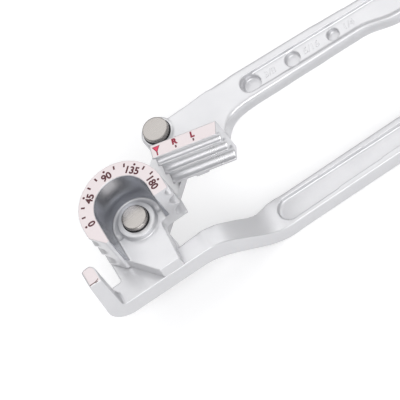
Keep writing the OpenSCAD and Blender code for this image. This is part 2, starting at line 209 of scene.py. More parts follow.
def join(pieces: Sequence[bpy.types.Object], name: str) -> bpy.types.Object:
    """Join meshes into one named piece.

    Args:
        pieces: The meshes, the first of which stays.
        name: The joined piece's name.

    Returns:
        The joined piece.
    """
    bpy.ops.object.select_all(action="DESELECT")
    for piece in pieces:
        piece.select_set(True)
    bpy.context.view_layer.objects.active = pieces[0]
    bpy.ops.object.join()
    pieces[0].name = name
    return pieces[0]


def settle(piece: bpy.types.Object, place: Matrix) -> None:
    """Put a mesh at a place and apply it, so its object stays at the origin."""
    piece.data.transform(place)
    piece.matrix_world = Matrix.Identity(4)


@dataclass(frozen=True)
class Spot:
    """A place and turn in a flat near face.

    Attributes:
        x: Along the face, in mm.
        y: Across the face, in mm.
        z: Height of the face, in mm.
        turn: Turn of the local X axis, in degrees.
    """

    x: float
    y: float
    z: float
    turn: float = 0.0

    def matrix(self) -> Matrix:
        """Return the place as a matrix in metres."""
        move = Matrix.Translation(Vector((self.x, self.y, self.z)) * MM)
        return move @ Matrix.Rotation(math.radians(self.turn), 4, "Z")

    def local(self, along: float, across: float, turn: float = 0.0) -> "Spot":
        """Return a spot given in this spot's own axes."""
        angle = math.radians(self.turn)
        return Spot(
            self.x + along * math.cos(angle) - across * math.sin(angle),
            self.y + along * math.sin(angle) + across * math.cos(angle),
            self.z,
            self.turn + turn,
        )


# Finishes


class Grain(Enum):
    """How a steel surface was worked."""

    BRUSHED = "brushed"
    PLATED = "plated"


@dataclass(frozen=True)
class CastAluminium:
    """Die-cast aluminium, shot-blasted: a pale satin skin with a fine pebble.

    Attributes:
        name: The material's name.
        colour: Colour of the skin.
        stain: Colour of the slightly duller patches.
        pocket: Painted shade on the wheel's pocket wall, a darker colour that stands in for the
            shade and dark reflections inside the pocket.
        metallic: Share of bare metal in the skin, below 1 because the blasted skin scatters.
        roughness: Middle roughness of the skin.
        spread: How far the patches move the roughness up and down.
        patch_mm: Size of a patch.
        pebble_mm: Size of one pebble, drawn coarser than the real 0.1 mm so that it shows.
        pebble_h: Height of a pebble at full strength, in mm.
        relief: Strength of the pebble's bump.
        pocket_metallic: Share of bare metal on the pocket's wall.
        pocket_roughness: Roughness of the pocket's wall.
        wall_inner: Radii where the pocket's mask is 0 and 1 on the wall's near side, in mm.
        wall_outer: Radii where it is 0 and 1 behind the wall.
        wall_foot: Heights where it is 0 and 1 at the wall's foot.
        wall_brim: Heights where it is 0 and 1 at the wall's brim.
    """

    name: str = "cast_aluminium"
    colour: str = "#D8D8DA"
    stain: str = "#CFCFD2"
    pocket: str = "#ABADB3"
    metallic: float = 0.52
    roughness: float = 0.33
    spread: float = 0.06
    patch_mm: float = 14.0
    pebble_mm: float = 0.8
    pebble_h: float = 0.2
    relief: float = 0.05
    pocket_metallic: float = 0.85
    pocket_roughness: float = 0.25
    wall_inner: tuple[float, float] = (13.1, 13.7)
    wall_outer: tuple[float, float] = (15.9, 15.5)
    wall_foot: tuple[float, float] = (42.6, 43.4)
    wall_brim: tuple[float, float] = (65.0, 64.4)

    def pocket_mask(self, tree: bpy.types.NodeTree,
                    place: bpy.types.NodeSocket) -> bpy.types.NodeSocket:
        """Return 1 on the wall of the wheel's pocket and 0 elsewhere.

        Args:
            tree: The material's node tree.
            place: Object coordinates.

        Returns:
            The mask. The pocket is a U about the wheel's axis, open towards -Y.
        """
        axes = add_node(tree, "ShaderNodeSeparateXYZ", None, {"Vector": place})
        behind = add_node(tree, "ShaderNodeMath", {"operation": "MAXIMUM"}, {
            0: axes.outputs["Y"], 1: 0.0})
        flat = add_node(tree, "ShaderNodeCombineXYZ", None, {
            "X": axes.outputs["X"], "Y": behind.outputs["Value"]})
        away = add_node(tree, "ShaderNodeVectorMath", {"operation": "LENGTH"}, {
            0: flat.outputs["Vector"]})
        radius, height = away.outputs["Value"], axes.outputs["Z"]
        mask = None
        for source, (start, end) in ((radius, self.wall_inner), (radius, self.wall_outer),
                                     (height, self.wall_foot), (height, self.wall_brim)):
            fade = add_node(tree, "ShaderNodeMapRange", None, {
                "Value": source, "From Min": start * MM, "From Max": end * MM})
            mask = fade.outputs["Result"] if mask is None else add_node(
                tree, "ShaderNodeMath", {"operation": "MULTIPLY"},
                {0: mask, 1: fade.outputs["Result"]}).outputs["Value"]
        return mask

    def make(self) -> bpy.types.Material:
        """Build the material."""
        material, tree, output = new_material(self.name)
        place = add_node(tree, "ShaderNodeTexCoord").outputs["Object"]
        patches = add_node(tree, "ShaderNodeTexNoise", None, {
            "Vector": place, "Scale": 1 / (self.patch_mm * MM), "Detail": 3.0, "Roughness": 0.55})
        pebble = add_node(tree, "ShaderNodeTexNoise", None, {
            "Vector": place, "Scale": 1 / (self.pebble_mm * MM), "Detail": 2.0})
        colour = add_node(tree, "ShaderNodeMix", {"data_type": "RGBA"}, {
            "Factor": patches.outputs["Fac"], 6: linear(self.stain), 7: linear(self.colour)})
        rough = add_node(tree, "ShaderNodeMapRange", None, {
            "Value": patches.outputs["Fac"], "To Min": self.roughness + self.spread,
            "To Max": self.roughness - self.spread})
        bump = add_node(tree, "ShaderNodeBump", None, {
            "Height": pebble.outputs["Fac"], "Strength": self.relief,
            "Distance": self.pebble_h * MM})
        # Painted shade: the pocket's wall is darkened for the shade and dark reflections inside
        # it, and made glossier and more metallic
        painted_shade_and_gloss = self.pocket_mask(tree, place)
        skin = add_node(tree, "ShaderNodeMix", {"data_type": "RGBA"}, {
            "Factor": painted_shade_and_gloss, 6: colour.outputs[2], 7: linear(self.pocket)})
        bare = add_node(tree, "ShaderNodeMapRange", None, {
            "Value": painted_shade_and_gloss, "To Min": self.metallic, "To Max": self.pocket_metallic})
        gloss = add_node(tree, "ShaderNodeMapRange", None, {
            "Value": painted_shade_and_gloss, "To Min": rough.outputs["Result"], "To Max": self.pocket_roughness})
        shader = add_node(tree, "ShaderNodeBsdfPrincipled", None, {
            "Base Color": skin.outputs[2], "Metallic": bare.outputs["Result"],
            "Roughness": gloss.outputs["Result"], "Normal": bump.outputs["Normal"]})
        tree.links.new(shader.outputs["BSDF"], output.inputs["Surface"])
        return material


@dataclass(frozen=True)
class Steel:
    """Brushed or plated steel.

    Attributes:
        name: The material's name.
        colour: Colour of the metal.
        roughness: Middle roughness.
        grain: How the surface was worked.
        line_mm: Spacing of the lines or spangles. A brush line is drawn coarser than the
            real 0.05 mm so that it shows.
        line_h: Height of a line at full strength, in mm.
        relief: Strength of the lines' bump.
        stretch: Width of a brush line over its length.
        spread: What the lines add to the roughness at the least and at the most.
    """

    name: str
    colour: str
    roughness: float
    grain: Grain = Grain.BRUSHED
    line_mm: float = 0.3
    line_h: float = 0.05
    relief: float = 0.05
    stretch: float = 0.04
    spread: tuple[float, float] = (-0.05, 0.07)

    def make(self) -> bpy.types.Material:
        """Build the material."""
        material, tree, output = new_material(self.name)
        place = add_node(tree, "ShaderNodeTexCoord").outputs["Object"]
        if self.grain is Grain.BRUSHED:
            squash = add_node(tree, "ShaderNodeMapping", None, {
                "Vector": place, "Scale": (self.stretch, 1.0, 1.0)})
            place = squash.outputs["Vector"]
        lines = add_node(tree, "ShaderNodeTexNoise", None, {
            "Vector": place, "Scale": 1 / (self.line_mm * MM), "Detail": 3.0})
        least, most = self.spread
        rough = add_node(tree, "ShaderNodeMapRange", None, {
            "Value": lines.outputs["Fac"], "To Min": self.roughness + least,
            "To Max": self.roughness + most})
        bump = add_node(tree, "ShaderNodeBump", None, {
            "Height": lines.outputs["Fac"], "Strength": self.relief, "Distance": self.line_h * MM})
        shader = add_node(tree, "ShaderNodeBsdfPrincipled", None, {
            "Base Color": linear(self.colour), "Metallic": 1.0,
            "Roughness": rough.outputs["Result"], "Normal": bump.outputs["Normal"]})
        tree.links.new(shader.outputs["BSDF"], output.inputs["Surface"])
        return material


@dataclass(frozen=True)
class PrintInk:
    """Pad-printed ink: a thin, slightly glossy enamel film, a little uneven.

    Attributes:
        name: The material's name.
        colour: Colour where the film is thick.
        thin: Colour where it is thin.
        roughness: Middle roughness.
        spread: How far the film moves the roughness up and down.
        patch_mm: Size of a thick or thin patch.
    """

    name: str
    colour: str
    thin: str
    roughness: float = 0.5
    spread: float = 0.06
    patch_mm: float = 0.8

    def make(self) -> bpy.types.Material:
        """Build the material."""
        material, tree, output = new_material(self.name)
        place = add_node(tree, "ShaderNodeTexCoord").outputs["Object"]
        film = add_node(tree, "ShaderNodeTexNoise", None, {
            "Vector": place, "Scale": 1 / (self.patch_mm * MM), "Detail": 3.0, "Roughness": 0.6})
        colour = add_node(tree, "ShaderNodeMix", {"data_type": "RGBA"}, {
            "Factor": film.outputs["Fac"], 6: linear(self.colour), 7: linear(self.thin)})
        rough = add_node(tree, "ShaderNodeMapRange", None, {
            "Value": film.outputs["Fac"], "To Min": self.roughness - self.spread,
            "To Max": self.roughness + self.spread})
        shader = add_node(tree, "ShaderNodeBsdfPrincipled", None, {
            "Base Color": colour.outputs[2], "Roughness": rough.outputs["Result"]})
        tree.links.new(shader.outputs["BSDF"], output.inputs["Surface"])
        return material


@dataclass
class Finishes:
    """Every finish of the bender, each made once."""

    # Shot-blasted castings: pale and satin, with a pebble that breaks up the highlights
    casting: bpy.types.Material = field(default_factory=lambda: CastAluminium().make())
    # The milled shoe: smoother and more mirror-like, so its ridges carry bright lines
    milled: bpy.types.Material = field(default_factory=lambda: CastAluminium(
        "milled_aluminium", "#D6D6D8", "#CECED1", metallic=0.75, roughness=0.29,
        relief=0.004).make())
    # Polished pin heads: a warm grey shine with faint lines
    head: bpy.types.Material = field(default_factory=lambda: Steel(
        "polished_steel", "#AAA6A3", 0.26).make())
    # Turned washers and dowels: an even, light grey
    washer: bpy.types.Material = field(default_factory=lambda: Steel(
        "turned_steel", "#BDBDBF", 0.34).make())
    # Zinc plate on the link: a soft cloudy spangle
    link: bpy.types.Material = field(default_factory=lambda: Steel(
        "zinc_plated_steel", "#C9C9CB", 0.4, Grain.PLATED, 1.6).make())
    # Blackened clips and screws: dark, with a dull gleam. The same finish paints shade as thin
    # dark rings under the pins' heads
    black: bpy.types.Material = field(default_factory=lambda: Steel(
        "blackened_steel", "#3A3A3D", 0.42, Grain.PLATED, 0.8).make())
    # The pale enamel under the marks: a little pink and a little uneven
    ground: bpy.types.Material = field(default_factory=lambda: PrintInk(
        "pale_print", "#E4DBDC", "#DED3D5").make())
    # The inks of the marks: dark on the scale, red on the shoe and brown on the jaw
    maroon: bpy.types.Material = field(default_factory=lambda: PrintInk(
        "maroon_ink", "#440E17", "#5A1C28").make())
    crimson: bpy.types.Material = field(default_factory=lambda: PrintInk(
        "crimson_ink", "#84142C", "#9A2A44").make())
    red: bpy.types.Material = field(default_factory=lambda: PrintInk(
        "red_ink", "#D0284E", "#DC4A6A").make())
    brown: bpy.types.Material = field(default_factory=lambda: PrintInk(
        "brown_ink", "#4E3430", "#6A4C46").make())


# Castings and steel parts


@dataclass
class RoundedPart:
    """A frame node copied with its sharp edges rounded.

    Attributes:
        node: The node that the piece stands for.
        body: The body that it rides on.
        radius: Radius of the rounded edges, in mm.
        slot: The record's material slot. Not used.
        segments: Faces across a rounded edge.
    """

    node: str
    body: str
    radius: float
    slot: str = "polished_steel"
    segments: int = 3

    def build(self, material: bpy.types.Material) -> bpy.types.Object:
        """Copy, round, smooth and dress the node.

        Args:
            material: The finish of the whole piece.

        Returns:
            The finished piece.
        """
        piece = copy_of_node(self.node, self.node + "_piece")
        apply_modifier(piece, "BEVEL", width=self.radius * MM, segments=self.segments,
                       limit_method="ANGLE", angle_limit=math.radians(SHARP_DEGREES),
                       use_clamp_overlap=False, miter_outer="MITER_ARC")
        smooth(piece)
        paint(piece, material)
        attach(piece, self.body)
        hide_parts(self.node)
        LOG.info("%s: %d faces", piece.name, len(piece.data.polygons))
        return piece


@dataclass(frozen=True)
class OutlineRounding:
    """A wide rounding along the long outer edges of a casting, which spares its slot.

    Attributes:
        passes: How often the edges are relaxed. More passes give a wider rounding.
        reach: Width of the relaxed band along the outline, in mm.
        from_x: Where the band starts along X, in mm.
        fade: Share of the reach over which the relaxing grows to its full strength.
        run_in: Length along X over which it grows to its full strength, in mm.
    """

    passes: int
    reach: float
    from_x: float
    fade: float = 0.4
    run_in: float = 6.0

    def apply(self, piece: bpy.types.Object) -> None:
        """Relax the skin near the lowest and highest Y of every millimetre of X.

        Args:
            piece: The piece, its long edges along X.
        """
        ends = {}
        for vertex in piece.data.vertices:
            column = round(vertex.co.x / MM)
            low, high = ends.get(column, (vertex.co.y, vertex.co.y))
            ends[column] = (min(low, vertex.co.y), max(high, vertex.co.y))
        band = piece.vertex_groups.new(name="outline")
        for vertex in piece.data.vertices:
            low, high = ends[round(vertex.co.x / MM)]
            depth = min(high - vertex.co.y, vertex.co.y - low) / MM
            share = min(1.0, (self.reach - depth) / (self.fade * self.reach),
                        (vertex.co.x / MM - self.from_x) / self.run_in)
            if share > 0:
                band.add([vertex.index], share, "REPLACE")
        apply_modifier(piece, "SMOOTH", factor=RELAX, iterations=self.passes,
                       vertex_group=band.name)
        piece.vertex_groups.clear()


@dataclass
class CastPart:
    """A frame node with the soft edges and filled corners that die casting leaves.

    Attributes:
        node: The node that the piece stands for.
        body: The body that it rides on.
        grid: Size of the faces that the skin is remade with, in mm.
        passes: How often the skin is relaxed. More passes give rounder edges.
        turn: Turn of the part's long edges about Z, in degrees. The faces are laid along them.
        edge: Rounding of every sharp edge before the skin is remade, in mm.
        edge_segments: Faces across such an edge.
        outline: Wider rounding of the outer outline, if any.
    """

    node: str
    body: str
    grid: float
    passes: int
    turn: float = 0.0
    edge: float = 0.0
    edge_segments: int = 4
    outline: Optional[OutlineRounding] = None

    def build(self, material: bpy.types.Material) -> bpy.types.Object:
        """Copy the node, remake its skin, relax it and dress it.

        Args:
            material: The finish of the whole piece.

        Returns:
            The finished piece.
        """
        piece = copy_of_node(self.node, self.node + "_piece")
        if self.edge:
            apply_modifier(piece, "BEVEL", width=self.edge * MM, segments=self.edge_segments,
                           limit_method="ANGLE", angle_limit=math.radians(SHARP_DEGREES),
                           use_clamp_overlap=False, miter_outer="MITER_ARC")
        straight = Matrix.Rotation(math.radians(-self.turn), 4, "Z")
        piece.data.transform(straight)
        apply_modifier(piece, "REMESH", mode="VOXEL", voxel_size=self.grid * MM, adaptivity=0.0)
        apply_modifier(piece, "SMOOTH", factor=RELAX, iterations=self.passes)
        if self.outline is not None:
            self.outline.apply(piece)
        piece.data.transform(straight.inverted())
        smooth(piece, SKIN_DEGREES)
        paint(piece, material)
        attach(piece, self.body)
        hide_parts(self.node)
        LOG.info("%s: %d faces", piece.name, len(piece.data.polygons))
        return piece


# Printed marks


@dataclass
class Print:
    """Flat printed shapes on one near face.

    Attributes:
        body: The body that the print rides on.
        film: Thickness of a layer of ink, in mm.
        sink: A ground ends where the rounded edge has dropped this far, in mm.
        capital: Height of a capital over the font's size.
        curve_steps: Straight pieces to each curve of a letter.
        corner: Rounding of a bar's corners over its width.
        corner_segments: Faces across such a corner.
    """

    body: str
    film: float = INK_MM
    sink: float = 0.03
    capital: float = 0.69
    curve_steps: int = 4
    corner: float = 0.2
    corner_segments: int = 2

    def ground(self, part: bpy.types.Object, name: str,
               material: bpy.types.Material) -> bpy.types.Object:
        """Print the whole near face of a rounded part, as far as it is flat.

        Args:
            part: The part with the face.
            name: The print's name.
            material: The ink.

        Returns:
            The printed layer.
        """
        piece = bpy.data.objects.new(name, part.data.copy())
        bpy.context.scene.collection.objects.link(piece)
        top = max(vertex.co.z for vertex in piece.data.vertices)
        edit(piece)
        bpy.ops.mesh.bisect(plane_co=(0, 0, top - self.sink * MM), plane_no=(0, 0, 1),
                            clear_inner=True)
        leave_edit()
        apply_modifier(piece, "SOLIDIFY", thickness=self.film * MM, offset=1.0)
        return self._finish(piece, material)

    def text(self, words: str, height: float, spot: Spot, name: str, material: bpy.types.Material,
             weight: float = 0.02, film: Optional[float] = None) -> bpy.types.Object:
        """Print words, centred on a spot.

        Args:
            words: What is printed.
            height: Height of a capital, in mm.
            spot: Where its middle lies.
            name: The print's name.
            material: The ink.
            weight: How much the strokes are thickened, as a share of the height.
            film: Height of the letters, in mm, where it isn't the film's.

        Returns:
            The printed words.
        """
        bpy.ops.object.text_add(align="WORLD", location=(0, 0, 0), rotation=(0, 0, 0))
        piece = bpy.context.active_object
        piece.data.body = words
        piece.data.align_x = "CENTER"
        piece.data.align_y = "CENTER"
        piece.data.size = height * MM / self.capital
        piece.data.bevel_depth = weight * height * MM
        piece.data.bevel_resolution = 0
        piece.data.extrude = (film or self.film) * MM
        piece.data.resolution_u = self.curve_steps
        bpy.ops.object.convert(target="MESH")
        piece = bpy.context.active_object
        middle = sum((Vector(corner) for corner in piece.bound_box), Vector()) / 8
        settle(piece, spot.matrix() @ Matrix.Translation((-middle.x, -middle.y, 0)))
        piece.name = name
        return self._finish(piece, material)

    def bar(self, length: float, width: float, spot: Spot) -> bpy.types.Object:
        """Print one bar with rounded corners, along the spot's Y axis.

        Args:
            length: Length of the bar, in mm.
            width: Width of the bar, in mm.
            spot: Where its middle lies.

        Returns:
            The bar, not yet dressed.
        """
        bpy.ops.mesh.primitive_cube_add(size=1, location=(0, 0, 0))
        piece = bpy.context.active_object
        piece.data.transform(Matrix.Diagonal((width * MM, length * MM, 2 * self.film * MM, 1)))
        apply_modifier(piece, "BEVEL", width=self.corner * width * MM,
                       segments=self.corner_segments, limit_method="ANGLE",
                       angle_limit=math.radians(SQUARE_DEGREES))
        settle(piece, spot.matrix())
        return piece

    def dot(self, diameter: float, spot: Spot, sides: int = 20) -> bpy.types.Object:
        """Print one round dot or, with three sides, a triangle.

        Args:
            diameter: Diameter of the dot, in mm.
            spot: Where its middle lies.
            sides: Sides of the outline.

        Returns:
            The dot, not yet dressed.
        """
        bpy.ops.mesh.primitive_cylinder_add(vertices=sides, radius=diameter / 2 * MM,
                                            depth=2 * self.film * MM)
        piece = bpy.context.active_object
        settle(piece, spot.matrix())
        return piece

    def group(self, pieces: Sequence[bpy.types.Object], name: str,
              material: bpy.types.Material) -> bpy.types.Object:
        """Join printed shapes into one dressed piece."""
        return self._finish(join(pieces, name), material)

    def _finish(self, piece: bpy.types.Object, material: bpy.types.Material) -> bpy.types.Object:
        """Dress a print and let it ride."""
        paint(piece, material)
        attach(piece, self.body)
        LOG.info("%s: %d faces", piece.name, len(piece.data.polygons))
        return piece


@dataclass
class DegreeScale:
    """The degree scale on the forming wheel's near face.

    Attributes:
        near_z: Height of the near face, in mm.
        number_r: Radius of the numbers' middles.
        number_h: Height of the numbers.
        weight: How much the numbers' strokes are thickened, as a share of the height.
        tick_r: Radius of the ticks' middles.
        tick_len: Length of a tick.
        tick_w: Width of a tick.
        dot_r: Radius of the dots' middles.
        dot_d: Diameter of a dot.
        step: Degrees between marks.
        numbered: Degrees that have a number and a dot.
    """

    near_z: float
    number_r: float = 18.5
    number_h: float = 3.75
    weight: float = 0.05
    tick_r: float = 21.2
    tick_len: float = 2.1
    tick_w: float = 0.95
    dot_r: float = 21.75
    dot_d: float = 1.3
    step: int = 15
    numbered: tuple[int, ...] = (0, 45, 90, 135, 180)

    def spot(self, degrees: float, radius: float) -> Spot:
        """Return the place of a mark, with its top pointing outwards."""
        angle = math.radians(180 - degrees)
        return Spot(radius * math.cos(angle), radius * math.sin(angle), self.near_z, 90 - degrees)

    def build(self, wheel: bpy.types.Object, finishes: Finishes) -> None:
        """Print the ground, the numbers, the ticks and the dots on the wheel."""
        ink = Print("lower")
        ink.ground(wheel, "scale_ground", finishes.ground)
        for degrees in self.numbered:
            ink.text(str(degrees), self.number_h, self.spot(degrees, self.number_r),
                     f"scale_number_{degrees}", finishes.maroon, self.weight)
        ticks = [ink.bar(self.tick_len, self.tick_w, self.spot(degrees, self.tick_r))
                 for degrees in range(0, 181, self.step) if degrees not in self.numbered]
        ink.group(ticks, "scale_ticks", finishes.maroon)
        dots = [ink.dot(self.dot_d, self.spot(degrees, self.dot_r)) for degrees in self.numbered]
        ink.group(dots, "scale_dots", finishes.maroon)


@dataclass
class ShoeMarks:
    """The arrow and the two letters on the forming shoe's near face.

    Attributes:
        lip: Spot on the shoe's lip line, level with the upper pin.
        letters: Letter to its distance from the pin along the shoe.
        letter_h: Height of a letter.
        letter_y: Distance of the letters' middles from the lip.
        weight: How much the letters' strokes are thickened, as a share of the height.
        tick: Length and width of the tick below a letter.
        tick_y: Distance of the ticks' middles from the lip.
        arrow_x: The arrow's distance from the pin.
        arrow_y: Distance of the arrow's middle from the lip.
        arrow_d: Diameter of the circle through the corners of the red arrow.
        edge_d: The same of the darker edge under it.
        stem: Length and width of the arrow's stem.
        stem_y: Distance of its middle from the lip.
    """

    lip: Spot
    letters: dict[str, float] = field(default_factory=lambda: {"R": 10.7, "L": 20.4})
    letter_h: float = 3.0
    letter_y: float = 5.1
    weight: float = 0.09
    tick: tuple[float, float] = (1.5, 0.85)
    tick_y: float = 2.0
    arrow_x: float = 0.5
    arrow_y: float = 4.9
    arrow_d: float = 3.5
    edge_d: float = 5.0
    stem: tuple[float, float] = (2.2, 0.75)
    stem_y: float = 1.9

    def build(self, shoe: bpy.types.Object, finishes: Finishes) -> None:
        """Print the ground, the arrow, the letters and their ticks on the shoe."""
        ink = Print("upper")
        ink.ground(shoe, "shoe_ground", finishes.ground)
        for letter, along in self.letters.items():
            ink.text(letter, self.letter_h, self.lip.local(along, self.letter_y),
                     f"shoe_letter_{letter}", finishes.crimson, self.weight)
            tick = ink.bar(*self.tick, self.lip.local(along, self.tick_y))
            ink.group([tick], f"shoe_tick_{letter}", finishes.maroon)
        arrow = self.lip.local(self.arrow_x, self.arrow_y, 180.0)
        ink.group([ink.dot(self.edge_d, arrow, 3)], "shoe_arrow_edge", finishes.crimson)
        above = Spot(arrow.x, arrow.y, arrow.z + ink.film, arrow.turn)
        ink.group([ink.dot(self.arrow_d, above, 3)], "shoe_arrow", finishes.red)
        stem = ink.bar(*self.stem, self.lip.local(self.arrow_x, self.stem_y))
        ink.group([stem], "shoe_arrow_tick", finishes.crimson)


@dataclass
class JawMark:
    """The label on the hook's jaw, with a brown line and a small mark near its end.

    Attributes:
        line: Middle of the line's straight part. Its X axis points along the jaw.
        straight: Length and width of the straight part.
        rise: Length and width of the part that rises at the line's end.
        rise_place: Its place along the jaw, its place across it and its turn.
        dot_d: Diameter of the dot below the line.
        dot_place: Its place along the jaw and across it.
        tick: Length and width of the tick beside the dot.
        tick_place: Its place along the jaw and across it.
    """

    line: Spot
    straight: tuple[float, float] = (3.6, 0.45)
    rise: tuple[float, float] = (2.0, 0.45)
    rise_place: tuple[float, float, float] = (0.36, -2.6, 22.0)
    dot_d: float = 0.65
    dot_place: tuple[float, float] = (-0.5, -1.6)
    tick: tuple[float, float] = (1.2, 0.35)
    tick_place: tuple[float, float] = (-0.42, -2.3)

    def build(self, handle: bpy.types.Object, finishes: Finishes) -> None:
        """Print the label, the line, the dot and the tick on the jaw."""
        ink = Print("lower")
        ink.ground(handle, "jaw_ground", finishes.ground)
        strokes = [ink.bar(*self.straight, self.line),
                   ink.bar(*self.rise, self.line.local(*self.rise_place)),
                   ink.dot(self.dot_d, self.line.local(*self.dot_place)),
                   ink.bar(*self.tick, self.line.local(*self.tick_place))]
        ink.group(strokes, "jaw_line", finishes.brown)


@dataclass
class GaugeNames:
    """The cast fractions that name the tube sizes on the floor of the upper slot.

    Attributes:
        row: Where the gauge holes' row starts, with its turn.
        names: Fraction to its distance from the first hole along the slot.
        across: Distance of their middles from the row's line.
        height: Height of a fraction.
        weight: How much the strokes are thickened, as a share of the height.
        relief: How far it stands proud.
    """

    row: Spot
    names: dict[str, float] = field(
        default_factory=lambda: {"3/8": 10.9, "5/16": 35.3, "1/4": 57.8})
    across: float = 0.3
    height: float = 3.6
    weight: float = 0.02
    relief: float = 0.16

    def build(self, finishes: Finishes) -> None:
        """Raise each fraction on the floor of the slot."""
        ink = Print("upper")
        for number, (name, along) in enumerate(self.names.items()):
            piece = ink.text(name, self.height, self.row.local(along, self.across),
                             f"gauge_name_{number}", finishes.casting, self.weight, self.relief)


@dataclass
class HeadWasher:
    """A thin dark ring under a pin's head, painted shade that stands in for the shadowed gap
    around the head.

    Attributes:
        body: The body that it rides on.
        spot: Where its far face lies.
        outer: Outer radius, in mm.
        inner: Inner radius.
        thick: Thickness.
        edge: Rounding of its edges.
        sides: Sides of its outline.
    """

    body: str
    spot: Spot
    outer: float = 7.35
    inner: float = 5.4
    thick: float = 0.4
    edge: float = 0.12
    sides: int = 96

    def build(self, name: str, material: bpy.types.Material) -> None:
        """Turn the ring from a disc: inset, cut through and thickened.

        Args:
            name: The piece's name.
            material: Its finish.
        """
        bpy.ops.mesh.primitive_circle_add(vertices=self.sides, radius=self.outer * MM,
                                          fill_type="NGON")
        piece = bpy.context.active_object
        edit(piece)
        bpy.ops.mesh.inset(thickness=(self.outer - self.inner) * MM)
        bpy.ops.mesh.delete(type="FACE")
        leave_edit()
        apply_modifier(piece, "SOLIDIFY", thickness=self.thick * MM, offset=1.0)
        apply_modifier(piece, "BEVEL", width=self.edge * MM, segments=2, limit_method="ANGLE",
                       angle_limit=math.radians(SQUARE_DEGREES))
        settle(piece, self.spot.matrix())
        piece.name = name
        smooth(piece)
        paint(piece, material)
        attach(piece, self.body)
        LOG.info("%s: %d faces", piece.name, len(piece.data.polygons))


# Studio


